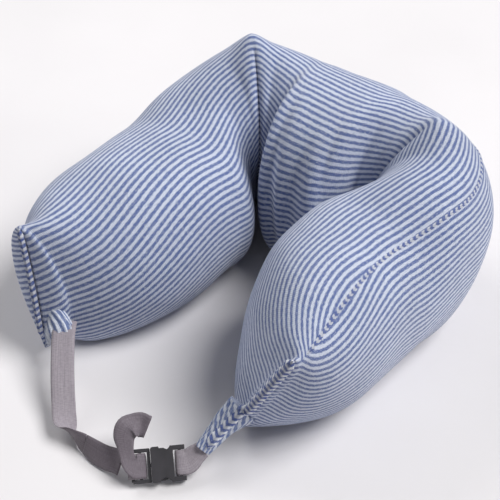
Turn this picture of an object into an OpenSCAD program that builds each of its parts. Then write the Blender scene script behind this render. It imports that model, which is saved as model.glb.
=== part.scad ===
// Neck pillow: a bead-filled jersey tube folded into a U, closed by a strap with a side-release buckle.
// Millimetres, +Z up. The pillow stands on z = 0, centred on the origin, and its arms point to -Y.

/* [Pillow plan] */
// Distance between the middles of the two folds
fold_span = 212; // [190:2:230]
// Length of the left arm, from its fold to its end seam
left_arm_l = 256; // [226:5:286]
// Length of the right arm, from its fold to its end seam
right_arm_l = 246; // [216:5:276]
// Width of the left arm at its fullest
left_arm_w = 164; // [150:2:172]
// Width of the right arm at its fullest
right_arm_w = 140; // [130:2:156]
// Depth of the back from the fold line to its outer face
back_out = 84; // [76:1:94]
// Depth of the back from the fold line to its inner face
back_in = 72; // [64:1:80]
// Distance of each inner crease from the middle of its fold, across
crease_in = 50; // [42:1:56]
// Distance of each inner crease in front of the fold line
crease_front = 34; // [26:1:44]
// Turn of the left arm's start, positive towards the middle
left_turn = -1; // [-4:1:2]
// Turn of the right arm's start, positive towards the middle
right_turn = 4; // [1:1:6]
// Curl of the left arm over its length
left_curl = 6; // [0:1:8]
// Curl of the right arm over its length
right_curl = 6; // [0:1:8]

// How far the top of the left end leans out from its foot
left_lean = 24; // [0:2:36]
// How far the top of the right end leans out from its foot
right_lean = 62; // [0:2:66]
// How far the top of the right end leans back from its foot
right_lean_back = 16; // [0:2:24]

/* [Pillow heights] */
// Height of the left arm at its fullest
left_arm_h = 141; // [125:1:155]
// Height of the right arm at its fullest
right_arm_h = 149; // [130:1:160]
// Height of the back
back_h = 178; // [160:1:190]
// Height of the pinched peak at each fold
peak_h = 191; // [180:1:205]
// How far the round underside is pressed flat where it stands
press = 8; // [4:1:14]

/* [Cloth] */
// Thickness of the knit cover
cover_t = 1.6; // [1:0.1:2.5]
// Thickness of the inner bag
bag_t = 0.8; // [0.5:0.1:1.5]
// Gap between one layer and the next
layer_gap = 0.4; // [0.3:0.1:0.8]
// Thickness of the raised stitching along a seam
seam_d = 3; // [2:0.5:5]
// How far the left arm can swing out before the fold closes, in degrees
open_deg = 4; // [2:1:6]

/* [Straps] */
// Width of the webbing
web_w = 20; // [16:1:21]
// Thickness of the webbing
web_t = 1.4; // [1:0.1:1.8]

/* [Buckle] */
// Outer width of the buckle
buckle_w = 28; // [28:0.5:32]
// Thickness of the socket
buckle_t = 9; // [8.5:0.5:11]
// Length of the socket's hollow body
socket_l = 18; // [17:1:22]
// Thickness of the bars that the webbing goes round
bar_d = 2.6; // [2.2:0.2:3]
// Width of the gaps beside the bars
web_gap = 4; // [3.4:0.2:4.4]
// Thickness of the prongs
prong_t = 3.6; // [3:0.2:4]
// Gap between the prongs and the socket's walls
prong_gap = 0.4; // [0.3:0.1:0.6]
// How far the buckle leans on its side, in degrees
buckle_lean = 35; // [30:1:40]

/* [Hidden] */
$fn = 48;

cover_c = [0.56, 0.61, 0.74];
bag_c = [0.93, 0.93, 0.95];
fill_c = [0.97, 0.97, 0.98];
seam_c = [0.74, 0.78, 0.88];
web_c = [0.50, 0.46, 0.50];
black_c = [0.15, 0.15, 0.16];

ring_n = 40;
bag_in = cover_t + layer_gap;
fill_in = bag_in + bag_t + layer_gap;

// --- stations along the tube: [inner point, outer point, underside, top, squareness, lean of the top] ---
function dir(side, a) = [-side * sin(a), -cos(a)];
function out(side, a) = [side * cos(a), -sin(a)];
function fold_at(side) = [side * fold_span / 2, 0];
function crease_at(side) = fold_at(side) + [-side * crease_in, -crease_front];

// Fullness across the arm, 1 until the end draws in, and never below the end's own share
function full(t, from, end, blunt) = let (x = max(0, (t - from) / (1 - from)))
    max(end, pow(1 - pow(min(x, 1), 2.4), blunt));

function arm_station(side, t, l, w, h, turn, curl) =
    let (a = turn + curl * t,
         c = fold_at(side) + dir(side, turn + curl * t / 2) * l * t,
         x = max(0, (t - 0.6) / 0.4),
         wi = w / 2 * (side < 0 ? full(t, 0.5, 0.22, 0.5) : full(t, 0.5, 0.12, 0.62)),
         wo = w / 2 * (side < 0 ? full(t, 0.56, 0.46, 0.42) : full(t, 0.5, 0.12, 0.62)),
         foot = side < 0 ? 10 * pow(x, 5) : 17 * pow(x, 2),
         top = h * (1 - (side < 0 ? 0.1 : 0.13) * pow(x, 1.6)) + 16 * pow(max(0, 1 - t / 0.36), 1.5))
    [c - out(side, a) * wi, c + out(side, a) * wo, foot - press * full(t, 0.6, 0, 0.5), top, 2.2,
     (out(side, a) * (side < 0 ? left_lean : right_lean)
        - dir(side, a) * (side < 0 ? 0 : right_lean_back)) * pow(max(0, (t - 0.4) / 0.6), 1.6)];

// Stations round a fold all turn about its crease, so none crosses another
function fan_reach(f, w) = let (dx = crease_in + w / 2, dy = crease_front + back_out)
    pow(pow(cos(f) / dx, 2.25) + pow(sin(f) / dy, 2.25), -1 / 2.25);
function fan_top(f, h) = let (k = abs(f - 45) / 45)
    peak_h * (1 - k) + (f < 45 ? h + 14 : back_h - 4) * k - 14 * k * (1 - k);
function fan_station(side, f, w, h) =
    let (c = crease_at(side), n = [side * cos(f), sin(f)],
         q = c + [side * sin(f), -cos(f)] * (45 - f) * 0.3)
    [q, c + n * fan_reach(f, w), -press * (0.4 + 0.6 * abs(f - 45) / 45), fan_top(f, h),
     1.6 + 0.5 * abs(f - 45) / 45, [0, 0]];

function back_station(u) = let (x = u * (fold_span / 2 - crease_in))
    [[x, -back_in + 22 * pow(abs(u), 2.5)], [x, back_out + 4 * (1 - u * u)], -press, back_h, 2.3, [0, 0]];

arm_steps = [0.34, 0.42, 0.5, 0.58, 0.66, 0.74, 0.82, 0.89, 0.95, 1];
fan_steps = [0, 15, 30, 45];
left_stations = concat(
    [for (i = [len(arm_steps) - 1:-1:0])
        arm_station(-1, arm_steps[i], left_arm_l, left_arm_w, left_arm_h, left_turn, left_curl)],
    [for (f = fan_steps) fan_station(-1, f, left_arm_w, left_arm_h)]);
main_stations = concat(
    [for (f = [45, 60, 75, 90]) fan_station(-1, f, left_arm_w, left_arm_h)],
    [for (u = [-0.6, -0.2, 0.2, 0.6]) back_station(u)],
    [for (f = [90, 75, 60, 45, 30, 15, 0]) fan_station(1, f, right_arm_w, right_arm_h)],
    [for (t = arm_steps)
        arm_station(1, t, right_arm_l, right_arm_w, right_arm_h, right_turn, right_curl)]);

// A point of a station's outline at angle a, drawn in by cut and never below the ground
function at(s, a, cut) =
    let (m = (s[0] + s[1]) / 2, e = (s[1] - s[0]) / norm(s[1] - s[0]),
         hl = norm(s[1] - s[0]) / 2 - cut, zm = (s[2] + s[3]) / 2, hz = (s[3] - s[2]) / 2 - cut,
         u = sign(cos(a)) * pow(abs(cos(a)), 2 / s[4]), v = sign(sin(a)) * pow(abs(sin(a)), 2 / s[4]),
         z = max(cut, zm + hz * v), p = m + e * hl * u + s[5] * z / s[3])
    [p.x, p.y, z];
function ring(s, cut) = [for (k = [0:ring_n - 1]) at(s, 360 * k / ring_n, cut)];

module loft(rings) {
    n = len(rings[0]);
    m = len(rings);
    pts = [for (r = rings) for (p = r) p];
    side = [for (i = [0:m - 2]) for (k = [0:n - 1]) let (k2 = (k + 1) % n)
        each [[i * n + k, (i + 1) * n + k2, i * n + k2], [i * n + k, (i + 1) * n + k, (i + 1) * n + k2]]];
    polyhedron(pts, concat(side, [[for (k = [0:n - 1]) k]], [[for (k = [n - 1:-1:0]) (m - 1) * n + k]]));
}

// --- a closed solid swept along a route of [point, side direction, half width, half thickness] ---
function unit(v) = v / norm(v);
function sweep_rings(route, corners) = let (m = len(route)) [for (i = [0:m - 1])
    let (t = unit(route[min(i + 1, m - 1)][0] - route[max(i - 1, 0)][0]),
         n = unit(cross(t, route[i][1])), w = cross(n, t))
    [for (c = corners) route[i][0] + w * c.x * route[i][2] + n * c.y * route[i][3]]];
module sweep(route, corners) { loft(sweep_rings(route, corners)); }
round_c = [for (k = [0:11]) [cos(30 * k), sin(30 * k)]];
flat_c = [[1, -0.5], [1, 0.5], [0.96, 1], [-0.96, 1], [-1, 0.5], [-1, -0.5], [-0.96, -1], [0.96, -1]];
module webbing(route) { sweep([for (r = route) [r[0], r[1], web_w / 2, web_t / 2]], flat_c); }

// --- gathered corners, where the straps come out ---
// Each hangs on the foot of its arm's end, so it moves with the arm's length
left_foot = let (s = left_stations[0], p = (s[0] + s[1]) / 2) [p.x, p.y, 0];
right_foot = let (s = main_stations[len(main_stations) - 1], p = (s[0] + s[1]) / 2) [p.x, p.y, 0];
left_corner_run = [[[6, -4.5, 33], 8, 4], [[9, -6, 37], 12, 7], [[13, -10, 38], 13, 7.5],
                   [[17, -14, 37], 12, 6.5], [[20, -17, 35], 11, 4.5]];
right_corner_run = [[[2, -4.4, 42], 19, 7], [[2, -10, 36], 16, 7.5], [[2, -21, 29], 12, 7],
                    [[2, -30, 23], 9, 6], [[2, -37, 19], 8, 5]];
left_corner_route = [for (r = left_corner_run) [left_foot + r[0], [0.5, 0.4, -0.6], r[1], r[2]]];
right_corner_route = [for (r = right_corner_run) [right_foot + r[0], [0, 0.3, 1], r[1], r[2]]];

// Where the middle lies, corners included, so that the pillow is centred on the origin
all_pts = concat([for (s = concat(left_stations, main_stations)) each ring(s, 0)],
    [for (r = concat(sweep_rings(left_corner_route, round_c), sweep_rings(right_corner_route, round_c))) each r]);
mid_x = (min([for (p = all_pts) p.x]) + max([for (p = all_pts) p.x])) / 2;
mid_y = (min([for (p = all_pts) p.y]) + max([for (p = all_pts) p.y])) / 2;
module placed() { translate([-mid_x, -mid_y, 0]) children(); }

// Draws a station in along the tube, towards its neighbour
function drawn(s, next, cut) = let (d = (next[0] + next[1]) / 2 - (s[0] + s[1]) / 2, e = d / norm(d))
    [s[0] + e * cut, s[1] + e * cut, s[2], s[3], s[4], s[5]];
function left_rings(cut) = let (m = len(left_stations))
    [for (i = [0:m - 1]) let (s = left_stations[i])
        ring(i == 0 ? drawn(s, left_stations[1], cut) : i == m - 1 ? wedge_station(cut) : s, cut)];
// The arm's face at the fold leans back from the fold's plane, so that the arm can swing out
function wedge_station(cut) = let (s = left_stations[len(left_stations) - 1], d = s[1] - s[0],
        w = [-d.y, d.x] / norm(d), back = tan(open_deg + 0.4))
    [s[0] + w * (0.5 + cut), s[1] + w * (0.5 + norm(d) * back + cut), s[2], s[3], s[4], s[5]];
function main_rings(cut) = let (m = len(main_stations))
    [for (i = [0:m - 1]) let (s = main_stations[i])
        ring(i == m - 1 ? drawn(s, main_stations[m - 2], cut) : i == 0 ? pushed(s, cut) : s, cut)];
function pushed(s, cut) = let (d = s[1] - s[0], w = [d.y, -d.x] / norm(d))
    [s[0] + w * cut, s[1] + w * cut, s[2], s[3], s[4], s[5]];

module skin(outer, inner) { difference() { loft(outer); loft(inner); } }

module outer_cover() { color(cover_c) placed() skin(main_rings(0), main_rings(cover_t)); }
module left_cover() { color(cover_c) placed() skin(left_rings(0), left_rings(cover_t)); }
module inner_bag() { color(bag_c) placed() skin(main_rings(bag_in), main_rings(bag_in + bag_t)); }
module left_bag() { color(bag_c) placed() skin(left_rings(bag_in), left_rings(bag_in + bag_t)); }
module bead_fill() { color(fill_c) placed() loft(main_rings(fill_in)); }
module left_fill() { color(fill_c) placed() loft(left_rings(fill_in)); }

// --- raised stitching, clear of the cover by a hair ---
seam_up = seam_d / 2 + 0.3;
function seam_route(stations, a0, a1) = let (m = len(stations) - 1) [for (i = [0:m])
    let (a = a0 + (a1 - a0) * pow(i / m, 0.7), p = at(stations[i], a, 0), q = at(stations[i], a, 4))
    [p + unit(p - q) * seam_up, [0, 0, 1], seam_d / 2, seam_d / 2]];
module right_long_seam() {
    m = len(main_stations);
    run = [for (i = [m - len(arm_steps) - 3:m - 2]) main_stations[i]];
    color(seam_c) placed() sweep(seam_route(run, 40, 72), round_c);
}
module left_long_seam() {
    run = [for (i = [1:len(arm_steps) + 2]) left_stations[i]];
    color(seam_c) placed() sweep(seam_route(run, 36, 16), round_c);
}
// The end seam closes the end of an arm from its top to its foot
function end_route(s, d) = let (m = (s[0] + s[1]) / 2)
    [for (k = [0:8]) let (z = s[3] - 6 - (s[3] - 30) * k / 8, p = m + s[5] * z / s[3] + d * seam_up)
        [[p.x, p.y, z], [s[1].x - s[0].x, s[1].y - s[0].y, 0], seam_d / 2, seam_d / 2]];
module right_end_seam() {
    color(seam_c) placed()
        sweep(end_route(main_stations[len(main_stations) - 1], dir(1, right_turn + right_curl)), round_c);
}
module left_end_seam() {
    color(seam_c) placed() sweep(end_route(left_stations[0], dir(-1, left_turn + left_curl)), round_c);
}

module left_corner() { color(cover_c) placed() sweep(left_corner_route, round_c); }
module right_corner() { color(cover_c) placed() sweep(right_corner_route, round_c); }

// --- the buckle lies on its side at the end of the short strap ---
// Its own frame: +X from plug to socket, Y across, Z through its thickness, 0 at the socket's mouth
buckle_at = [-22, -71];
buckle_turn = 45;
buckle_z = 0.6 + buckle_w / 2 * sin(buckle_lean) + buckle_t / 2 * cos(buckle_lean);
module at_buckle() {
    placed() translate(right_foot + [buckle_at.x, buckle_at.y, buckle_z])
        rotate([0, 0, buckle_turn]) rotate([buckle_lean, 0, 0]) children();
}
function from_buckle(p) =
    let (y = p.y * cos(buckle_lean) - p.z * sin(buckle_lean), z = p.y * sin(buckle_lean) + p.z * cos(buckle_lean))
    right_foot + [buckle_at.x + p.x * cos(buckle_turn) - y * sin(buckle_turn),
                  buckle_at.y + p.x * sin(buckle_turn) + y * cos(buckle_turn), buckle_z + z];
buckle_side = from_buckle([0, 1, 0]) - from_buckle([0, 0, 0]);

cav_h = prong_t + 2 * prong_gap;
cav_w = buckle_w - 4.4;
slot_w = web_w + 1.2;
bar_mid = socket_l + web_gap + bar_d / 2;
wrap_r = bar_d / 2 + web_t / 2 + 0.15;
barb_x = 7.5;
prong_y = 8.4;
prong_l = socket_l - 2;
pivot_x = 1.6;
plate_t = 4;
base_x = -0.3;

module rounded(x0, x1, w, r) {
    translate([x0 + r, -w / 2]) square([x1 - x0 - 2 * r, w]);
    translate([x0, -w / 2 + r]) square([x1 - x0, w - 2 * r]);
    for (x = [x0 + r, x1 - r]) for (y = [-w / 2 + r, w / 2 - r]) translate([x, y]) circle(r);
}
module slab(t) { translate([0, 0, -t / 2]) linear_extrude(t) children(); }
module bar(x, w) { translate([x, 0, 0]) rotate([90, 0, 0]) cylinder(h = w, d = bar_d, center = true); }

module buckle_socket() {
    color(black_c) at_buckle() difference() {
        union() {
            slab(buckle_t) rounded(0, socket_l, buckle_w, 2);
            for (m = [-1, 1]) slab(buckle_t - 3) translate([(socket_l + bar_mid) / 2, m * (buckle_w + slot_w) / 4])
                square([bar_mid - socket_l + 8, (buckle_w - slot_w) / 2], center = true);
            bar(bar_mid, slot_w + 3);
        }
        slab(cav_h) translate([-1, -cav_w / 2]) square([prong_l + 1.4, cav_w]);
        for (m = [-1, 1]) {
            slab(cav_h) translate([barb_x - 0.4, m > 0 ? cav_w / 2 - 1 : -buckle_w / 2 - 1]) square([8, 4.2]);
            slab(buckle_t + 1) translate([barb_x + 3.6, m * (buckle_w / 2 + 1.8)]) circle(5);
        }
    }
}

// The plug has two bars behind its plate, so that the webbing goes round the inner one
inner_bar = base_x - 1.5 * bar_d - web_gap;
end_bar = inner_bar - bar_d - web_gap;
module buckle_plug() {
    color(black_c) at_buckle() {
        slab(plate_t) rounded(base_x - bar_d, base_x, buckle_w - 1, 1);
        for (m = [-1, 1]) slab(plate_t) translate([(base_x - 1 + end_bar) / 2, m * (buckle_w - 1 + slot_w) / 4])
            square([base_x - 1 - end_bar, (buckle_w - 1 - slot_w) / 2], center = true);
        for (x = [inner_bar, end_bar]) bar(x, slot_w + 3);
        slab(prong_t - 0.6) translate([base_x - 1, -1.4]) square([prong_l - 3 - base_x, 2.8]);
    }
}

// A prong bends in from its root; its barb stands in the socket's side window
module prong() {
    slab(prong_t) {
        translate([pivot_x, prong_y]) circle(1.3);
        polygon([[pivot_x, prong_y - 1.3], [prong_l, prong_y - 1.1], [prong_l, prong_y + 1.6],
            [barb_x + 3, prong_y + 4.4], [barb_x, prong_y + 4.5], [barb_x, prong_y + 1.3], [pivot_x, prong_y + 1.3]]);
    }
}
module front_prong() { color(black_c) at_buckle() mirror([0, 1, 0]) prong(); }
module rear_prong() { color(black_c) at_buckle() prong(); }

// --- webbing; its routes are chosen points in the pillow's own placing ---
// The long strap runs down from the left corner, turns over on the ground and goes on to the plug
long_run = [[[-84, -164, 44], [0.79, 0.62, 0]], [[-77, -174, 40], [0.79, 0.62, 0]],
            [[-64, -189, 33], [0.79, 0.62, 0]], [[-50, -204, 25], [0.79, 0.62, 0]],
            [[-37, -217, 17], [0.79, 0.61, -0.05]], [[-27, -226, 12], [0.75, 0.55, -0.3]],
            [[-18, -231, 10], [0.6, 0.3, -0.75]], [[-8, -233, 11], [0.3, 0, -0.95]],
            [[3, -233, 11], [0.2, -0.3, -0.93]], [[14, -233, 10], [0.3, -0.5, -0.8]],
            [[25, -232, 10], [0.42, -0.55, -0.72]], [[34, -230, 11], [0.5, -0.57, -0.65]],
            [[40, -230, 12], [0.56, -0.58, -0.6]]];
module long_strap() { color(web_c) webbing(long_run); }

// The tail goes over the end bar, under the middle bar, up again and back over itself
tail_in = concat([[end_bar - 4, wrap_r + 0.5], [end_bar - 1.5, wrap_r + 0.1]],
    [for (a = [75:-30:15]) [end_bar + wrap_r * cos(a), wrap_r * sin(a)]],
    [for (a = [205:30:415]) [inner_bar + wrap_r * cos(a), wrap_r * sin(a)]],
    [[inner_bar - 1, wrap_r + 1.2], [inner_bar - 4, wrap_r + 2.3]]);
tail_out = [[[49.5, -229, 18.5], [0.45, -0.75, -0.4], 7], [[44, -226.5, 22.5], [-0.27, -0.85, -0.28], 6],
            [[39, -222.5, 27], [-0.74, -0.6, -0.1], 7], [[35, -218.5, 31.5], [-0.79, -0.62, 0], 9],
            [[34, -213, 36], [-0.79, -0.62, 0], 10], [[38, -206, 36], [-0.74, -0.5, 0.3], 10],
            [[44, -201, 33], [-0.6, -0.3, 0.7], 10]];
module strap_tail() {
    run = concat([for (p = tail_in) [from_buckle([p.x, 0, p.y]) - [mid_x, mid_y, 0], -buckle_side, 10]], tail_out);
    color(web_c) sweep([for (r = run) [r[0], r[1], r[2] * web_w / 20, web_t / 2]], flat_c);
}

// The short strap is a loop round the socket's bar, drawn together where it enters the right corner
corner_end = right_foot + right_corner_run[len(right_corner_run) - 1][0] + [-0.5, -2, -0.5];
function short_leg(m) = [[corner_end + buckle_lift(m * 1.5), buckle_side + [0.1, 0, 0.4], 6],
    [(corner_end + from_buckle([bar_mid + 6, 1, 0])) / 2 + buckle_lift(m * 1.7), buckle_side + [0, 0, 0.2], 8],
    [from_buckle([bar_mid + 6, 0.5, m * 1.9]), buckle_side, web_w / 2],
    [from_buckle([bar_mid + 2, 0, m * (wrap_r + 0.1)]), buckle_side, web_w / 2]];
function buckle_lift(h) = from_buckle([0, 0, h]) - from_buckle([0, 0, 0]);
module short_strap() {
    turn = [for (a = [-90:30:90]) [from_buckle([bar_mid - wrap_r * cos(a), 0, wrap_r * sin(a)]),
                                   buckle_side, web_w / 2]];
    low = short_leg(-1);
    up = short_leg(1);
    run = concat(low, turn, [for (i = [len(up) - 1:-1:0]) up[i]]);
    color(web_c) placed() sweep([for (r = run) [r[0], r[1], r[2], web_t / 2]], flat_c);
}

outer_cover();
inner_bag();
bead_fill();
left_cover();
left_bag();
left_fill();
right_long_seam();
left_long_seam();
right_end_seam();
left_end_seam();
right_corner();
left_corner();
long_strap();
strap_tail();
short_strap();
buckle_socket();
buckle_plug();
front_prong();
rear_prong();
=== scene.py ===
"""The looks of a u-shaped neck pillow: a striped jersey cover on a tube of beads that is folded at two
corners, with sewn seams, gathered corners, and a webbing strap with a side-squeeze buckle."""

import bpy
import numpy as np
from mathutils import Matrix


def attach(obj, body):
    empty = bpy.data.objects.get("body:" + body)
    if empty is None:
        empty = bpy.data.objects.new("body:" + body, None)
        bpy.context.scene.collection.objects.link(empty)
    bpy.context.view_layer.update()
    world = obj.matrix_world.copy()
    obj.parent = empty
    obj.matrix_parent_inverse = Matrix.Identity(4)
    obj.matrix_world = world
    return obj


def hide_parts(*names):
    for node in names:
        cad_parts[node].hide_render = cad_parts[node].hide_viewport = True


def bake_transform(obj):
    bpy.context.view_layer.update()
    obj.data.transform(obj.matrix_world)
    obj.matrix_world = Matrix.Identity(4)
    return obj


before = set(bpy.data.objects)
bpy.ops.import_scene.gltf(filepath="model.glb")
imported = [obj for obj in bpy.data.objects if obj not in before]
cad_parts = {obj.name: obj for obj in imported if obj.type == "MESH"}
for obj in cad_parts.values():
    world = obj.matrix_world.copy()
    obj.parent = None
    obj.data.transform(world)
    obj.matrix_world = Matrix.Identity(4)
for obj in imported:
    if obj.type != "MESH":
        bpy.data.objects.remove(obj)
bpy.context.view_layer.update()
MM = 0.001


# ---------------------------------------------------------------- camera, lamps and floor

def turn_to(az, el):
    """Axes of a viewer at azimuth az and elevation el: right, up, and back towards the viewer."""
    a, e = np.radians([az, el])
    back = np.array([np.sin(a) * np.cos(e), -np.cos(a) * np.cos(e), np.sin(e)])
    right = np.array([np.cos(a), np.sin(a), 0.0])
    return right, np.cross(back, right), back


def aim(ob, target, az, el, distance):
    """Place a camera or lamp at a distance from its target, looking at it."""
    right, up, back = turn_to(az, el)
    spot = np.array(target) + back * distance
    axes = np.column_stack([right, up, back, spot])
    ob.matrix_world = Matrix([*axes.tolist(), [0, 0, 0, 1]])
    bpy.context.scene.collection.objects.link(ob)


lens = bpy.data.cameras.new("camera")
lens.lens, lens.sensor_width = 80.9, 36.0
eye = bpy.data.objects.new("camera", lens)
aim(eye, (-0.0054, -0.0073, 0.060), 38.31, 41.19, 1.0131)
bpy.context.scene.camera = eye
bpy.context.scene.view_settings.view_transform = "Standard"


def soft_box(name, az, el, distance, size, watts):
    """A round lamp aimed at the object from azimuth az and elevation el."""
    lamp = bpy.data.lights.new(name, "AREA")
    lamp.shape, lamp.size, lamp.energy = "DISK", size, watts
    aim(bpy.data.objects.new(name, lamp), (0, 0, 0.05), az, el, distance)


# ---------------------------------------------------------------- node shorthand

def srgb(r, g, b):
    """A colour written as 0-255 values, made linear."""
    c = np.array([r, g, b]) / 255.0
    return (*np.where(c <= 0.04045, c / 12.92, ((c + 0.055) / 1.055) ** 2.4), 1.0)


class Finish:
    """A material and its Principled shader, with short calls that add and join nodes."""

    def __init__(self, name, **settings):
        self.mat = bpy.data.materials.new(name)
        self.mat.use_nodes = True
        self.tree = self.mat.node_tree
        self.shader = self.tree.nodes["Principled BSDF"]
        self.set(self.shader, settings)

    def set(self, node, values):
        for key, value in values.items():
            key = int(key[1:]) if key[0] == "_" else key.replace("_", " ")
            if isinstance(value, bpy.types.NodeSocket):
                self.tree.links.new(value, node.inputs[key])
            else:
                node.inputs[key].default_value = value

    def add(self, kind, props=None, **values):
        node = self.tree.nodes.new("ShaderNode" + kind)
        for key, value in (props or {}).items():
            setattr(node, key, value)
        self.set(node, values)
        return node

    def math(self, op, a, b=0.0, c=0.0):
        return self.add("Math", {"operation": op}, _0=a, _1=b, _2=c).outputs[0]

    def noise(self, vector, scale, detail=2.0, rough=0.5):
        return self.add("TexNoise", Vector=vector, Scale=scale, Detail=detail, Roughness=rough).outputs["Fac"]

    def ramp(self, value, *stops):
        node = self.add("ValToRGB", Fac=value)
        marks = node.color_ramp.elements
        while len(marks) < len(stops):
            marks.new(0.5)
        for mark, (at, shade) in zip(marks, stops):
            mark.position, mark.color = at, (shade if len(shade) == 4 else (*shade, 1))
        return node.outputs[0]

    def mix(self, fac, a, b, how="MIX"):
        node = self.add("Mix", {"data_type": "RGBA", "blend_type": how})
        self.set(node, {"_0": fac, "_6": a, "_7": b})
        return node.outputs[2]

    def lay(self, x, y, z=0.0):
        return self.add("CombineXYZ", X=x, Y=y, Z=z).outputs[0]

    def uv(self):
        parts = self.add("SeparateXYZ", Vector=self.add("UVMap", {"uv_map": "cloth"}).outputs[0])
        return parts.outputs[0], parts.outputs[1]

    def place(self):
        return self.add("TexCoord").outputs["Object"]

    def bump(self, height, strength, depth, under=None):
        node = self.add("Bump", Height=height, Strength=strength, Distance=depth)
        if under is not None:
            self.set(node, {"Normal": under})
        return node.outputs[0]

    def done(self, colour, normal=None, rough=None):
        self.set(self.shader, {"Base Color": colour})
        if normal is not None:
            self.set(self.shader, {"Normal": normal})
        if rough is not None:
            self.set(self.shader, {"Roughness": rough})
        return self.mat


def grey(level):
    return level, level, level


def wave_of(f, value, pitch):
    """Sine of a distance, one turn for each pitch."""
    return f.math("SINE", f.math("MULTIPLY", value, 2 * np.pi / pitch))


def stretched(f, u, v, along, across):
    """Pattern coordinates with so many cells per metre along the cloth and across it."""
    return f.lay(f.math("MULTIPLY", u, along), f.math("MULTIPLY", v, across))


def striped_jersey(name, pitch=0.0058, dark=(88, 106, 158), pale=(206, 212, 228), crosswise=False):
    """Knitted jersey with stripes that run along the tube: a wave over the way round it, frayed by a fine
    noise, flecked with melange, and ribbed with the columns of the knit. Crosswise, for a rolled seam, the
    stripes slant across the roll from a channel along its middle, which is painted darker as shade in its
    groove."""
    f = Finish(name, Roughness=0.92, Sheen_Weight=0.25, Sheen_Roughness=0.5, Specular_IOR_Level=0.2)
    u, v = f.uv()
    channel = f.math("ABSOLUTE", v)
    if crosswise:
        u, v = v, f.math("MULTIPLY_ADD", channel, 0.9, u)
    place = f.place()
    fray = f.noise(stretched(f, u, v, 190.0, 800.0), 1.0, 4.0, 0.75)
    drift = f.noise(stretched(f, u, v, 9.0, 30.0), 1.0, 1.0)
    line = f.math("MULTIPLY_ADD", v, 2 * np.pi / pitch, f.math("MULTIPLY", f.math("SUBTRACT", fray, 0.5), 4.2))
    line = f.math("ADD", line, f.math("MULTIPLY", f.math("SUBTRACT", drift, 0.5), 1.5))
    wave = f.math("MULTIPLY_ADD", f.math("SINE", line), 0.5, 0.5)
    stripe = f.ramp(wave, (0.22, srgb(*dark)), (0.48, srgb(146, 158, 190)), (0.7, srgb(*pale)))
    fleck = f.noise(stretched(f, u, v, 420.0, 1300.0), 1.0, 4.0, 0.8)
    stripe = f.mix(f.ramp(fleck, (0.52, grey(0.0)), (0.66, grey(0.7))), stripe, srgb(224, 227, 236))
    stripe = f.mix(f.ramp(fleck, (0.32, grey(0.6)), (0.47, grey(0.0))), stripe, srgb(84, 99, 142))
    cloud = f.noise(place, 14.0, 3.0)
    stripe = f.mix(1.0, stripe, f.ramp(cloud, (0.3, grey(0.86)), (0.7, grey(1.0))), "MULTIPLY")
    if crosswise:
        # painted shade: the channel between the two rolls is darkened
        stripe = f.mix(f.ramp(channel, (0.0001, grey(0.5)), (0.0005, grey(0.0))), stripe, srgb(76, 88, 128))
    knit = f.math("ADD", wave_of(f, v, 0.0012), wave_of(f, u, 0.0016))
    normal = f.bump(knit, 0.3, 0.00018)
    normal = f.bump(fleck, 0.5, 0.0006, normal)
    normal = f.bump(f.noise(place, 60.0, 3.0), 0.35, 0.002, normal)
    return f.done(stripe, normal)


SHADED_BACK_SHIFT = 0.1


def strap_webbing():
    """Grey-mauve woven tape: fine streaks along it, faint ribs across it, a darker selvage on both edges. The
    back of the tape, whose v is written a fixed shift further on, is painted darker than its face: painted
    shade."""
    f = Finish("strap_webbing", Roughness=0.62, Sheen_Weight=0.3, Sheen_Roughness=0.4, Specular_IOR_Level=0.35)
    u, v = f.uv()
    back = f.math("GREATER_THAN", v, SHADED_BACK_SHIFT / 2)
    edge = f.math("ABSOLUTE", f.math("MULTIPLY_ADD", back, -SHADED_BACK_SHIFT, v))
    rib, cord = wave_of(f, u, 0.0013), wave_of(f, v, 0.0011)
    grain = f.noise(stretched(f, u, v, 900.0, 300.0), 1.0, 3.0, 0.7)
    streak = f.noise(stretched(f, u, v, 22.0, 900.0), 1.0, 3.0, 0.6)
    tone = f.ramp(streak, (0.3, srgb(146, 138, 145)), (0.7, srgb(170, 162, 169)))
    tone = f.mix(f.ramp(grain, (0.35, grey(0.35)), (0.6, grey(0.0))), tone, srgb(112, 103, 111))
    selvage = f.ramp(edge, (0.00795, grey(0.0)), (0.00835, grey(0.6)), (0.0089, grey(0.0)))
    tone = f.mix(selvage, tone, srgb(106, 97, 105))
    # painted shade: the back of the tape is darkened as if it were turned away from the light
    tone = f.mix(back, tone, f.mix(1.0, tone, srgb(186, 182, 186), "MULTIPLY"))
    normal = f.bump(f.math("ADD", f.math("MULTIPLY", rib, 0.4), f.math("MULTIPLY", cord, 0.6)), 0.4, 0.0002)
    return f.done(tone, f.bump(grain, 0.3, 0.0003, normal))


def moulded_black():
    """Matte black moulded plastic with a fine spark-eroded grain."""
    f = Finish("moulded_black", Roughness=0.42, Specular_IOR_Level=0.45)
    place = f.place()
    grain = f.noise(place, 1500.0, 2.0)
    patch = f.noise(place, 90.0, 3.0)
    tone = f.ramp(patch, (0.3, srgb(29, 27, 31)), (0.7, srgb(43, 40, 45)))
    rough = f.math("MULTIPLY_ADD", patch, 0.2, 0.34)
    return f.done(tone, f.bump(grain, 0.22, 0.00015), rough)


def bag_cloth():
    """Fine off-white knit of the inner bag."""
    f = Finish("bag_cloth", Roughness=0.9, Sheen_Weight=0.2)
    u, v = f.uv()
    knit = f.math("ADD", wave_of(f, v, 0.0012083), wave_of(f, u, 0.0014612))
    tone = f.ramp(f.noise(f.place(), 40.0, 3.0), (0.3, srgb(214, 214, 212)), (0.7, srgb(236, 236, 233)))
    return f.done(tone, f.bump(knit, 0.3, 0.0002))


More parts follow.
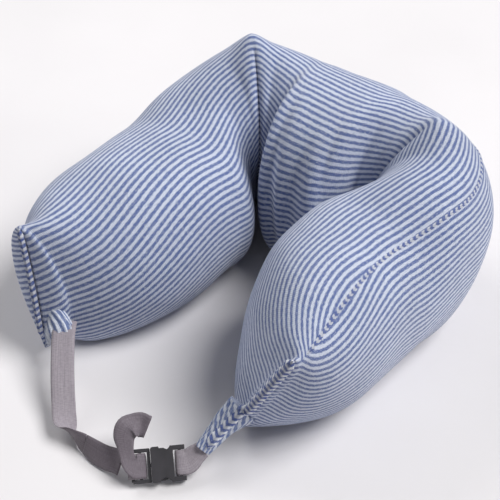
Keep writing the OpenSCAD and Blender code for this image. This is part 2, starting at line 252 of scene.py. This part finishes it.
def bead_mass():
    """White foam micro-beads, packed together; each bead is painted darker toward its rim, as painted shade
    between the beads.
    """
    f = Finish("bead_mass", Roughness=0.75)
    cells = f.add("TexVoronoi", Vector=f.place(), Scale=900.0)
    tone = f.ramp(cells.outputs["Distance"], (0.1, srgb(244, 244, 241)), (0.75, srgb(196, 196, 193)))
    return f.done(tone, f.bump(cells.outputs["Distance"], 0.6, -0.0006))


def seen_directly(tree):
    """1 for a ray that comes straight from the camera, or by a mirror or glass; 0 for light that lands."""
    ray = tree.nodes.new("ShaderNodeLightPath")
    seen = ray.outputs["Is Camera Ray"]
    for other in ("Is Glossy Ray", "Is Transmission Ray"):
        both = tree.nodes.new("ShaderNodeMath")
        both.operation = "MAXIMUM"
        tree.links.new(seen, both.inputs[0])
        tree.links.new(ray.outputs[other], both.inputs[1])
        seen = both.outputs[0]
    return seen


def pale_floor():
    """Pale sheet that goes over, far from the object, into an even backdrop of the same brightness."""
    f = Finish("pale_floor", Roughness=0.85, Specular_IOR_Level=0.1, Emission_Color=(1.0, 0.985, 0.99, 1))
    place = f.place()
    weave = f.noise(place, 35.0, 5.0, 0.6)
    tone = f.ramp(f.noise(place, 2.2, 3.0), (0.35, srgb(226, 223, 224)), (0.65, srgb(233, 230, 231)))
    far = f.add("MapRange", Value=f.add("VectorMath", {"operation": "LENGTH"}, _0=place).outputs["Value"],
                From_Min=0.5, From_Max=2.0).outputs[0]
    tone = f.mix(far, tone, (0, 0, 0, 1))
    glow = f.math("MULTIPLY", f.math("MULTIPLY", far, 0.86), seen_directly(f.tree))
    f.set(f.shader, {"Emission_Strength": glow})
    return f.done(tone, f.bump(weave, 0.12, 0.002))


jersey = striped_jersey("striped_jersey")
# A paler copy of the jersey for the seam rolls: the stripes are real, the near-white pale is a painted
# highlight where the rolls catch the light.
lit_seam_jersey = striped_jersey("lit_seam_jersey", pitch=0.0062, dark=(84, 104, 170), pale=(250, 251, 255),
                             crosswise=True)
tab_jersey = striped_jersey("tab_jersey", pitch=0.0050, dark=(112, 130, 178), pale=(222, 227, 239))
webbing = strap_webbing()
plastic = moulded_black()


# ---------------------------------------------------------------- curves, meshes

def smooth_through(knots, rows, at):
    """Cubic through rows at uneven knots; each inner slope is the mean of its two neighbours' slopes."""
    rows = np.asarray(rows, float)
    slope = np.diff(rows, axis=0) / np.diff(knots)[:, None]
    lean = np.vstack([slope[:1], (slope[1:] + slope[:-1]) / 2, slope[-1:]])
    i = np.clip(np.searchsorted(knots, at) - 1, 0, len(knots) - 2)
    h = (knots[i + 1] - knots[i])[:, None]
    x = (at - knots[i])[:, None] / h
    return (rows[i] * (1 + 2 * x) * (1 - x) ** 2 + lean[i] * h * x * (1 - x) ** 2
            + rows[i + 1] * x * x * (3 - 2 * x) + lean[i + 1] * h * x * x * (x - 1))


def unit(v):
    return v / np.maximum(np.linalg.norm(v, axis=-1, keepdims=True), 1e-12)


def make_piece(name, rings, uv, finish, body, slot, nodes=(), ends=True, round_the_ring=True):
    """A mesh from rings (M, N, 3) in metres; uv (M, N+1, 2) in metres is written on every face corner."""
    m, n = rings.shape[:2]
    i, j = np.meshgrid(np.arange(m - 1), np.arange(n if round_the_ring else n - 1), indexing="ij")
    i, j = i.ravel(), j.ravel()
    k = (j + 1) % n
    quads = np.stack([i * n + j, (i + 1) * n + j, (i + 1) * n + k, i * n + k], 1)
    corners = np.stack([uv[i, j], uv[i + 1, j], uv[i + 1, j + 1], uv[i, j + 1]], 1).reshape(-1, 2)
    faces = quads.tolist()
    if ends and round_the_ring:
        faces += [list(range(n)), list(range(m * n - 1, (m - 1) * n - 1, -1))]
        corners = np.vstack([corners, uv[0, :n], uv[-1, :n][::-1]])
    mesh = bpy.data.meshes.new(name)
    mesh.from_pydata(rings.reshape(-1, 3).tolist(), [], faces)
    mesh.uv_layers.new(name="cloth").data.foreach_set("uv", corners.ravel())
    mesh.polygons.foreach_set("use_smooth", np.ones(len(faces), bool))
    mesh.materials.append(finish)
    mesh.update()
    ob = bpy.data.objects.new(name, mesh)
    bpy.context.scene.collection.objects.link(ob)
    if body:
        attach(ob, body)
    if nodes:
        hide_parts(*nodes)
    return ob


def carry(route, profile, step=0.0015):
    """Rings of a profile carried along a route. route rows: x y z, width direction, width scale, thickness
    scale (mm); profile (N, 2) is in units of those scales. Returns rings in metres, distance along, axes."""
    route = np.asarray(route, float)
    chord = np.concatenate([[0], np.cumsum(np.linalg.norm(np.diff(route[:, :3], axis=0), axis=1))])
    at = np.linspace(0, chord[-1], max(8, int(chord[-1] * MM / step)))
    row = smooth_through(chord, route, at)
    mid = row[:, :3]
    ahead = unit(np.gradient(mid, axis=0))
    wide = unit(row[:, 3:6] - ahead * np.sum(row[:, 3:6] * ahead, axis=1, keepdims=True))
    up = np.cross(ahead, wide)
    along = np.concatenate([[0], np.cumsum(np.linalg.norm(np.diff(mid, axis=0), axis=1))])
    rings = (mid[:, None] + wide[:, None] * (row[:, 6:7] * profile[None, :, 0])[..., None]
             + up[:, None] * (row[:, 7:8] * profile[None, :, 1])[..., None])
    return rings * MM, along * MM, (mid * MM, ahead, wide, up)


# ---------------------------------------------------------------- straps

HALF_W, HALF_T = 10.0, 0.7
LONG_RUN = [(-84, -164, 44, .79, .62, 0), (-77, -174, 40, .79, .62, 0), (-64, -189, 33, .79, .62, 0),
            (-50, -204, 25, .79, .62, 0), (-37, -217, 17, .79, .61, -.05), (-27, -226, 12, .75, .55, -.3),
            (-18, -231, 10, .6, .3, -.75), (-8, -233, 11, .3, 0, -.95), (3, -233, 11, .2, -.3, -.93),
            (14, -233, 10, .3, -.5, -.8), (25, -232, 10, .42, -.55, -.72), (34, -230, 11, .5, -.57, -.65),
            (40, -230, 12, .56, -.58, -.6)]
TAIL_RUN = [(49.5, -229, 18.5, .45, -.75, -.4, 7), (44, -226.5, 22.5, -.27, -.85, -.28, 6),
            (39, -222.5, 27, -.74, -.6, -.1, 7), (35, -218.5, 31.5, -.79, -.62, 0, 9),
            (34, -213, 36, -.79, -.62, 0, 10), (38, -206, 36, -.74, -.5, .3, 10),
            (44, -201, 33, -.6, -.3, .7, 10)]
MOUTH = np.array([60.02, -216.52, 12.316])
AXIS, SIDE, FACE = np.array([[.7071, .7071, 0], [-.5792, .5792, .5736], [.40558, -.40558, .81915]])
INNER_BAR, END_BAR, WRAP, BAR_MID = -8.2, -14.8, 2.15, 23.3


def at_buckle(x, y, z):
    """A point in the buckle's own axes: x towards the socket, y across, z out of its face."""
    return MOUTH + AXIS * x + SIDE * y + FACE * z


def tape_profile(points=9):
    """A flat tape: both faces as rows of points, with rounded edges."""
    x = np.linspace(-1, 1, points)
    thick = np.where(np.abs(x) > 0.99, 0.35, 1.0)
    top = np.stack([x, thick], 1)
    low = np.stack([x[::-1], -thick], 1)
    return np.vstack([top, low])


def tape(name, rows, body, nodes, back=1, wrinkle=None):
    """Webbing along rows (point, width direction[, half width]); its pattern runs along it and across it.
    back says which side of the tape gets the painted shade of its back: 1 the lower one, -1 the upper."""
    rows = [(*r[:6], r[6] if len(r) > 6 else HALF_W, HALF_T) for r in rows]
    profile = tape_profile()
    rings, along, axes = carry(rows, profile)
    if wrinkle is not None:
        rings = rings + wrinkle(along / MM, profile)[..., None] * axes[3][:, None] * MM
    # the side chosen by back is shifted in v, and the webbing finish paints that side with shade
    across = profile[::-1, 0] * HALF_W * MM + np.where(profile[::-1, 1] * back < 0, SHADED_BACK_SHIFT, 0)
    uv = np.stack(np.broadcast_arrays(along[:, None], np.append(across, across[0])[None, :]), 2)
    ob = make_piece(name, rings[:, ::-1], uv, webbing, body, "webbing", nodes)
    return ob, [tuple(p) for p in axes[0]], along[-1]


# The long strap is two pieces that meet past its turn.
SPLIT = 8
strap_a, path_a, long_a = tape("long_strap_tape", LONG_RUN[:SPLIT + 1], None, ["long_strap"])
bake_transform(strap_a)
strap_b, _, _ = tape("long_strap_end", LONG_RUN[SPLIT:], None, ["long_strap"])
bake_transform(strap_b)


def round_bar(bar, degrees, slack=0.0):
    """Points of the tape's path round a bar, in the buckle's axes, standing off by slack on its far side."""
    a = np.radians(degrees)
    return [(bar + WRAP * c + slack * max(0.0, c), WRAP * s) for c, s in zip(np.cos(a), np.sin(a))]


def hem(at, profile):
    """The turned end of the tape: both faces stand out by 0.8 mm over the last 4 mm."""
    return 0.8 * np.exp(-np.clip(at[-1] - at - 4.0, 0, None) / 0.7)[:, None] * np.sign(profile[None, :, 1])


tail_in = ([(END_BAR - 4, WRAP + 0.5), (END_BAR - 1.5, WRAP + 0.1)]
           + round_bar(END_BAR, np.arange(75, 14, -15)) + round_bar(INNER_BAR, np.arange(205, 416, 15), 1.9)
           + [(INNER_BAR - 1, WRAP + 1.2), (INNER_BAR - 4, WRAP + 2.3)])
tail_rows = [(*at_buckle(x, 0, z), *-SIDE, HALF_W) for x, z in tail_in] + TAIL_RUN
strap_tail, _, _ = tape("strap_tail_tape", tail_rows, "plug", ["strap_tail"], back=-1, wrinkle=hem)

# ---------------------------------------------------------------- the pillow's shape

MID_X, FOLD_X, FOLD_Y = 6.0, 106.0, 98.65
BACK_H, PRESS = 178.0, 8.0
CREASE_IN, CREASE_FRONT, BACK_IN, BACK_OUT = 50.0, 34.0, 72.0, 84.0
# Each arm, left (-1) and right (1): length, width, height; which way it points and curls; how its end leans
# out and back; how much its outer side is trimmed; its fold's height; how thin its end gets, and how bluntly.
ARM = {-1: dict(l=256, w=164, h=141, turn=-1, curl=6, lean=24, back=0, trim=0, peak=190,
                thin=(0.22, 0.46), blunt=(0.5, 0.48)),
       1: dict(l=246, w=140, h=149, turn=4, curl=6, lean=62, back=16, trim=6, peak=184,
               thin=(0.12, 0.12), blunt=(0.62, 0.62))}
STEPS = (0.34, 0.42, 0.5, 0.58, 0.66, 0.74, 0.82, 0.89, 0.95, 1.0)


def heading(side, a):
    """The way an arm points when turned in by a degrees."""
    return np.array([-side * np.sin(np.radians(a)), -np.cos(np.radians(a))])


def outward(side, a):
    """Square to the heading, away from the neck."""
    return np.array([side * np.cos(np.radians(a)), -np.sin(np.radians(a))])


def fullness(t, start, end, blunt):
    """How full the arm still is at share t of its length: 1 up to start, then a blunt taper to end."""
    x = min(max(0.0, (t - start) / (1 - start)), 1.0)
    return max(end, (1 - x ** 2.4) ** blunt)


def arm_station(side, t):
    """The section at share t of an arm: inner point, outer point, foot, top, squareness, lean (x, y)."""
    q = ARM[side]
    a = q["turn"] + q["curl"] * t
    c = np.array([side * FOLD_X, 0.0]) + heading(side, q["turn"] + q["curl"] * t / 2) * q["l"] * t
    x = max(0.0, (t - 0.6) / 0.4)
    wi = q["w"] / 2 * fullness(t, 0.5, q["thin"][0], q["blunt"][0])
    wo = (q["w"] / 2 - q["trim"] * max(0, 1 - t * 1.4)) * fullness(t, 0.5, q["thin"][1], q["blunt"][1])
    foot = 10 * x ** 5 if side < 0 else 17 * x ** 2
    top = q["h"] * (1 - (0.1 if side < 0 else 0.13) * x ** 1.6) + 16 * max(0.0, 1 - t / 0.36) ** 1.5
    o = outward(side, a)
    lean = (o * q["lean"] - heading(side, a) * q["back"]) * max(0.0, (t - 0.4) / 0.6) ** 1.6
    crown = 2.2 - (0.4 * x * x if side < 0 else 0)
    return [*(c - o * wi), *(c + o * wo), foot - PRESS * fullness(t, 0.6, 0, 0.5), top, crown, *lean]


def fold_station(side, f):
    """The section f degrees round a fold, whose inner side is a short crease and outer side a rounded box."""
    q = ARM[side]
    c = np.array([side * (FOLD_X - CREASE_IN), -CREASE_FRONT])
    r = np.radians(f)
    dx, dy = CREASE_IN + q["w"] / 2 - q["trim"], CREASE_FRONT + BACK_OUT
    reach = ((np.cos(r) / dx) ** 2.25 + (np.sin(r) / dy) ** 2.25) ** (-1 / 2.25)
    n = np.array([side * np.cos(r), np.sin(r)])
    p = c + np.array([side * np.sin(r), -np.cos(r)]) * (45 - f) * 0.3
    k = abs(f - 45) / 45
    top = q["peak"] * (1 - k) + (q["h"] + 14 if f < 45 else BACK_H - 4) * k - 14 * k * (1 - k)
    return [*p, *(c + n * reach), -PRESS * (0.4 + 0.6 * k), top, 1.6 + 0.5 * k, 0, 0]


def back_station(u):
    """The section at share u across the back, from -1 at the left crease to 1 at the right one."""
    x = u * (FOLD_X - CREASE_IN)
    return [x, -BACK_IN + 22 * abs(u) ** 2.5, x, BACK_OUT + 4 * (1 - u * u), -PRESS, BACK_H, 2.3, 0, 0]


rows = np.array([arm_station(-1, t) for t in STEPS[::-1]]
                + [fold_station(-1, f) for f in range(0, 91, 15)]
                + [back_station(u) for u in (-0.6, -0.2, 0.2, 0.6)]
                + [fold_station(1, f) for f in range(90, -1, -15)]
                + [arm_station(1, t) for t in STEPS])
rows[:, [0, 2]] += MID_X
rows[:, [1, 3]] += FOLD_Y
middle = (rows[:, 0:2] + rows[:, 2:4]) / 2
KNOTS = np.concatenate([[0], np.cumsum(np.linalg.norm(np.diff(middle, axis=0), axis=1))])
S_LEFT, S_RIGHT, S_END = KNOTS[13], KNOTS[24], KNOTS[-1]


def hill(x, width):
    """1 at x = 0, falling off as a bell of that width."""
    return np.exp(-(x / width) ** 2)


def between(a, lo, hi, soft):
    """1 inside lo..hi, falling smoothly to 0 over soft on both sides."""
    x = np.clip(np.minimum(a - lo, hi - a) / soft + 0.5, 0, 1)
    return x * x * (3 - 2 * x)


def pleats(s, deg):
    """How far the cloth stands in (-) or out (+), in mm, at distance s along the tube and angle deg round
    its section (0 outer side, 90 top, 180 inner side)."""
    d = np.zeros(np.broadcast(s, deg).shape)
    for fold, way in ((S_LEFT, 1), (S_RIGHT, -1)):
        x = s - fold
        d -= 9.0 * np.exp(-np.abs(x) / 7.0) * between(deg, 100, 262, 40)
        d += 4.0 * np.exp(-np.abs(x) / 14.0) * hill(deg - 86, 30)
        for k, (off, deep, wide) in enumerate(((20, 1.6, 5), (-24, 1.4, 6), (42, 0.9, 7), (-47, 0.8, 8))):
            line = off * way * (1 + 0.35 * np.sin(np.radians(deg * 1.3 + 40 * k)))
            d -= deep * hill(x - line, wide) * between(deg, 96, 240, 50)
    for mid, tilt, deep, wide in ((-18, 9, 4.2, 5.5), (6, -5, 2.0, 6), (40, 22, 3.0, 7), (-38, 4, 1.8, 7)):
        x = s - (S_LEFT + S_RIGHT) / 2 - mid - tilt * (deg - 180) / 90
        d -= deep * (hill(x, wide) - 0.45 * hill(np.abs(x) - 2.2 * wide, wide)) * between(deg, 110, 235, 40)
    swell = (np.sin(s / 31.0 + np.radians(deg) * 2.0) + np.sin(s / 19.0 - np.radians(deg) * 3.0 + 1.3)
             + 0.6 * np.sin(s / 11.0 + np.radians(deg) * 5.0 + 4.0))
    return d + 0.55 * swell


def seam_angle(s):
    """Where round the section the long seam lies: low on the left arm, high on the right end."""
    return np.interp(s, [0, S_LEFT, S_RIGHT, S_RIGHT + 60, S_END], [16, 36, 40, 52, 72])


def section(s, deg):
    """Points of the tube: a superellipse between the inner and outer point, underside and top, whose upper
    part leans out near the ends. Heights go through (z + sqrt(z^2 + 25)) / 2, which lays what would go under
    the floor flat on it. Also the upright line that each point is drawn in to at an end seam."""
    r = smooth_through(KNOTS, rows, s)
    inner, outer = r[:, 0:2], r[:, 2:4]
    half = np.linalg.norm(outer - inner, axis=1) / 2
    e = unit(outer - inner)
    p = 2 / r[:, 6:7]
    ca, sa = np.cos(np.radians(deg)), np.sin(np.radians(deg))
    across = half[:, None] * np.sign(ca) * np.abs(ca) ** p
    z = (r[:, 4:5] + r[:, 5:6]) / 2 + (r[:, 5:6] - r[:, 4:5]) / 2 * np.sign(sa) * np.abs(sa) ** p
    z = 0.5 * (z + np.sqrt(z * z + 25.0)) - 0.15
    lean = r[:, None, 7:9] * (z / r[:, 5:6])[..., None]
    xy = ((inner + outer) / 2)[:, None] + lean + e[:, None] * across[..., None]
    line = np.concatenate([xy - e[:, None] * across[..., None], z[..., None]], 2)
    return np.concatenate([xy, z[..., None]], 2), line


COVER_STEP, COVER_ROUND, CAP_RINGS = 2.0, 240, 14
FLOOR_GAP = 0.4
# The stripes: the girth they fill, and how far they slide round the section (mm) by each end, over what run.
STRIPED_GIRTH = 487.2
LEFT_SLIDE, LEFT_RUN, LEFT_CAP_SLANT = 95, 150, 0.6
RIGHT_SLIDE_INNER, RIGHT_SLIDE_OUTER, RIGHT_RUN = 75, -90, 130


def even_girth(s, girth):
    """The girth that stripes are counted on: the true one between the arms, held from half-way out on each
    arm, so that nearer the ends the seam cuts stripes off instead of squeezing them."""
    return np.interp(np.clip(s, KNOTS[7], KNOTS[-8]), s, girth)


def pillow_grid(step, round_points):
    """The whole cover: rings along the tube, then rings that draw each end in to its upright end seam.
    A cap ring is seam line + (rim - seam line) * w, pushed ahead by bulge * sqrt(1 - w^2). The stripes' v
    runs round the section from the line opposite the seam, less slide * (nearness to the end)^2."""
    s = np.arange(0, S_END + step / 2, S_END / round(S_END / step))
    k = np.arange(round_points) / round_points * 360.0
    deg = (seam_angle(s)[:, None] + k[None, :]) % 360.0
    p, line = section(s, deg)
    along = np.gradient(p, axis=0)
    roundly = (np.roll(p, -1, axis=1) - np.roll(p, 1, axis=1))
    normal = unit(np.cross(roundly, along))
    ends = np.concatenate([p, p[:, :1]], 1)
    run = np.linalg.norm(np.diff(ends, axis=1), axis=2).cumsum(1)
    run = np.concatenate([np.zeros((len(p), 1)), run], 1)
    v = run - run[:, round_points // 2][:, None]
    v = v * (STRIPED_GIRTH / even_girth(s, run[:, -1]))[:, None]
    inner_side = between(np.append(k, 360.0), -60, 185, 60)[None, :]
    right_slide = RIGHT_SLIDE_OUTER + (RIGHT_SLIDE_INNER - RIGHT_SLIDE_OUTER) * inner_side
    v = v - LEFT_SLIDE * np.clip(1 - s / LEFT_RUN, 0, 1)[:, None] ** 2
    v = v - right_slide * np.clip(1 - (S_END - s) / RIGHT_RUN, 0, 1)[:, None] ** 2
    p = p + normal * pleats(s[:, None], deg)[..., None]
    p[..., 2] = np.maximum(p[..., 2], FLOOR_GAP)
    w = np.cos(np.linspace(0, np.pi / 2, CAP_RINGS + 1))[1:]
    caps = []
    for rim, seam, way, side in ((p[0], line[0], heading(-1, 5), -1), (p[-1], line[-1], heading(1, 10), 1)):
        z = rim[:, 2]
        reach = 5 + (17 * np.clip(1 - z / 125, 0, 1) ** 1.3 if side < 0 else 0 * z)
        ahead = np.sqrt(1 - w[:, None] ** 2) * reach - 3.0 * np.exp(-w[:, None] / 0.16)
        cap = seam[None] + (rim - seam)[None] * w[:, None, None]
        cap[..., :2] += ahead[..., None] * way
        caps.append(cap)
    p = np.concatenate([caps[0][::-1], p, caps[1]])
    past_rim = np.linalg.norm(np.diff(p[:CAP_RINGS + 1], axis=0), axis=2)[::-1].cumsum(0)[::-1]
    past_rim = np.concatenate([past_rim, past_rim[:, :1]], 1)
    v = np.concatenate([v[:1] - LEFT_CAP_SLANT * past_rim, v, np.repeat(v[-1:], CAP_RINGS, 0)])
    gaps = np.linalg.norm(np.diff(p, axis=0), axis=2).mean(1)
    u = np.concatenate([[0], np.cumsum(gaps)])[:, None] + 0 * v
    return p * MM, np.stack([u, v], 2) * MM


def fold_with_arm(ob):
    """Bake the object's placement into its mesh."""
    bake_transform(ob)


cover_p, cover_uv = pillow_grid(COVER_STEP, COVER_ROUND)
cover = make_piece("cover", cover_p, cover_uv, jersey, None, "jersey", ["outer_cover", "left_cover"],
                   ends=False)
fold_with_arm(cover)


def drawn_in(step, points, depth):
    """The same shape, a distance in from the cover, closed short of the end seams."""
    p, uv = pillow_grid(step, points)
    normal = unit(np.cross(np.roll(p, -1, axis=1) - np.roll(p, 1, axis=1), np.gradient(p, axis=0)))
    p = p - normal * depth * MM
    p[..., 2] = np.maximum(p[..., 2], (FLOOR_GAP + depth) * MM)
    return p[8:-8], uv[8:-8]


FILLING = [("bag", 2.6, bag_cloth(), "bag_cloth", ["inner_bag", "left_bag"]),
           ("beads", 4.6, bead_mass(), "beads", ["bead_fill", "left_fill"])]
for name, depth, finish, slot, nodes in FILLING:
    ob = make_piece(name, *drawn_in(5.0, 96, depth), finish, None, slot, nodes)
    fold_with_arm(ob)


# ---------------------------------------------------------------- seams

# The middle of the right corner's tuck, from the end seam down to the short strap.
TAIL_LINE = np.array([(98, -147, 45), (94.5, -153, 40), (91, -161, 34), (88.5, -171, 27), (86.5, -179, 21.5)])
STITCH = 4.2


def ridge(name, path, out, half, high, body, nodes, blend=False):
    """A sewn seam: two soft rolls with a channel between. Its profile is half wide and high, a circle whose
    upper part is times (0.5 + two humps), and its two sides swell in turn, once a stitch."""
    path, out = np.asarray(path), np.asarray(out)
    chord = np.concatenate([[0], np.cumsum(np.linalg.norm(np.diff(path, axis=0), axis=1))])
    at = np.arange(0, chord[-1], 0.7)
    mid = smooth_through(chord, path, at)
    up = unit(smooth_through(chord, out, at))
    ahead = unit(np.gradient(mid, axis=0))
    wide = unit(np.cross(ahead, up))
    t = np.linspace(0, 2 * np.pi, 28, endpoint=False)
    x, y = np.cos(t), np.sin(t)
    rolls = 0.5 + 0.6 * np.exp(-((np.abs(x) - 0.48) / 0.3) ** 2)
    rise = y * np.where(y > 0, rolls, 0.8)
    stitch = 1 + 0.12 * np.sin(2 * np.pi * at / STITCH)[:, None] * np.clip(2 * y, 0, 1)[None] * x[None]
    ease = np.clip(np.minimum(at - at[0], at[-1] - at) / 6.0, 0.15, 1)[:, None] ** 0.5
    rings = (mid[:, None] + wide[:, None] * (half * ease * x[None] * stitch)[..., None]
             + up[:, None] * (high * ease * rise[None] * stitch)[..., None])
    v = np.append(x, x[0]) * half
    uv = np.stack(np.broadcast_arrays(at[:, None], v[None, :]), 2)
    rings[..., 2] = np.maximum(rings[..., 2], 0.5)
    ob = make_piece(name, rings * MM, uv * MM, lit_seam_jersey, None if blend else body, "stitching", nodes)
    if blend:
        fold_with_arm(ob)
    return ob


ring_mm = cover_p / MM


def seam_on_cover(i0, i1, lift):
    """A run along the cover's own sewn edge, from ring i0 to ring i1, with the way out of the cloth."""
    edge = ring_mm[i0:i1, 0]
    out = unit(np.cross(ring_mm[i0:i1, 1] - ring_mm[i0:i1, -1], np.gradient(ring_mm[i0:i1, 0], axis=0)))
    return (edge + out * lift)[::4], out[::4]


def ring_at(s):
    """The cover's ring nearest to distance s along the tube."""
    return int(CAP_RINGS + round(s / COVER_STEP))


path, out = seam_on_cover(ring_at(S_RIGHT - 20), ring_at(S_END) - 2, 0.2)
ridge("right_long_seam_roll", path, out, 1.7, 0.9, "pillow", ["right_long_seam"])
path, out = seam_on_cover(CAP_RINGS + 3, ring_at(S_LEFT) - 8, 0.2)
ridge("left_long_seam_roll", path, out, 1.7, 0.9, "left_arm", ["left_long_seam"], blend=True)


def end_seam(cap, way, raised):
    """The upright line where a cap closes, from its top down, and the way out of it."""
    order = np.argsort(-cap[:, 2])
    pts = cap[order][::6]
    out = np.tile(np.array([*way, 0.12]), (len(pts), 1))
    return pts + out * raised, out


path, out = end_seam(ring_mm[0], heading(-1, 5), 3.6)
keep = (path[:, 2] > 20)
ridge("left_end_seam_roll", path[keep], out[keep], 2.9, 2.6, "left_arm", ["left_end_seam"])
path, out = end_seam(ring_mm[-1], heading(1, 10), 4.4)
keep = (path[:, 2] > 50)
side_out = np.array([0.5, -0.6, 0.62])
on_tail = TAIL_LINE + unit(side_out) * np.array([[7], [8.3], [8.6], [8.0], [7.0]])
path = np.vstack([path[keep], on_tail])
out = np.vstack([out[keep], np.tile(side_out, (5, 1))])
ridge("right_end_seam_roll", path, out, 4.4, 3.0, "pillow", ["right_end_seam"])

# ---------------------------------------------------------------- gathered corners


def gathered(name, rows, folds, body, nodes, twist=0.0):
    """A narrowing tuck of cloth: an ellipse carried along rows, with pleats that run along it."""
    t = np.linspace(0, 2 * np.pi, 72, endpoint=False)
    swell = 1 + 0.07 * np.cos(folds * t) + 0.05 * np.cos(2.6 * folds * t + 1.0)
    profile = np.stack([np.cos(t) * swell, np.sin(t) * swell], 1)
    rings, along, _ = carry(rows, profile, 0.001)
    v = np.concatenate([t, [2 * np.pi]]) / (2 * np.pi) * 0.058
    uv = np.stack([along[:, None] + 0 * v, v[None, :] + twist * along[:, None]], 2)
    return make_piece(name, rings, uv, tab_jersey, body, "jersey", nodes)


foot_l = np.append((rows[0, 0:2] + rows[0, 2:4]) / 2, 0.0)
LEFT_TUCK = [((-7, -4, 42), (.2, .1, -1), 5, 3), ((0, -6, 46), (-.1, 0, -1), 8, 4.5),
             ((8, -9, 45), (-.5, -.3, -.8), 11, 6), ((14, -12.5, 40), (-.75, -.5, -.4), 12.5, 6.5),
             ((18, -15.5, 33.5), (-.79, -.6, -.1), 12, 6), ((21, -18, 28), (-.79, -.62, 0), 11, 4)]
RIGHT_TUCK = zip([*TAIL_LINE, (85.5, -183, 18.6)], (15, 13.5, 12, 10, 8.8, 8.2), (8, 8, 7.5, 6.5, 5.6, 4.6))
gathered("left_corner_tuck", [(*(foot_l + np.array(p)), *wide, a, b) for p, wide, a, b in LEFT_TUCK],
         11, "left_arm", ["left_corner"])
gathered("right_corner_tuck", [(*p, 0, 0.3, 1, a, b) for p, a, b in RIGHT_TUCK],
         9, "pillow", ["right_corner"], twist=0.55)

# ---------------------------------------------------------------- short strap and buckle

corner_end = np.array([85.0, -182.5, 18.4])


def short_leg(m):
    """One of the two layers between the corner and the buckle's bar: m is 1 above and -1 below."""
    middle = (at_buckle(BAR_MID + 6, 1, 0) + corner_end) / 2
    return [(*(corner_end + FACE * m * 1.5), *(SIDE + [0.1, 0, 0.4]), 7),
            (*(middle + FACE * m * 1.7), *(SIDE + [0, 0, 0.2]), 8.5),
            (*at_buckle(BAR_MID + 6, 0.5, m * 1.9), *SIDE, 10),
            (*at_buckle(BAR_MID + 2, 0, m * (WRAP + 0.1)), *SIDE, 10)]


half_turn = np.radians(np.arange(-90, 91, 20))
loop = (short_leg(-1) + [(*at_buckle(BAR_MID - (WRAP + 1.7) * np.cos(a), 0, WRAP * np.sin(a)), *SIDE, 10)
                         for a in half_turn] + short_leg(1)[::-1])
tape("short_strap_tape", loop, "pillow", ["short_strap"])

for node in ("buckle_socket", "buckle_plug", "front_prong", "rear_prong"):
    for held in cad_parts[node].material_slots:
        held.material = plastic

# ---------------------------------------------------------------- floor and light

corners = 30.0 * np.array([[[-1, 1, 0], [1, 1, 0]], [[-1, -1, 0], [1, -1, 0]]])
floor = make_piece("floor", corners, np.zeros((2, 2, 2)), pale_floor(), None, "jersey", ends=False,
                   round_the_ring=False)
world = bpy.data.worlds.new("studio")
bpy.context.scene.world = world
world.use_nodes = True
sky = world.node_tree.nodes["Background"]
sky.inputs[0].default_value = (0.95, 0.965, 1.0, 1)
show = world.node_tree.nodes.new("ShaderNodeMath")
show.operation = "MULTIPLY_ADD"
show.inputs[1].default_value, show.inputs[2].default_value = 0.66, 0.21
world.node_tree.links.new(seen_directly(world.node_tree), show.inputs[0])
world.node_tree.links.new(show.outputs[0], sky.inputs[1])
soft_box("key", 122, 55, 4.5, 2.6, 208)
soft_box("left_fill", -100, 36, 3.0, 1.8, 34)
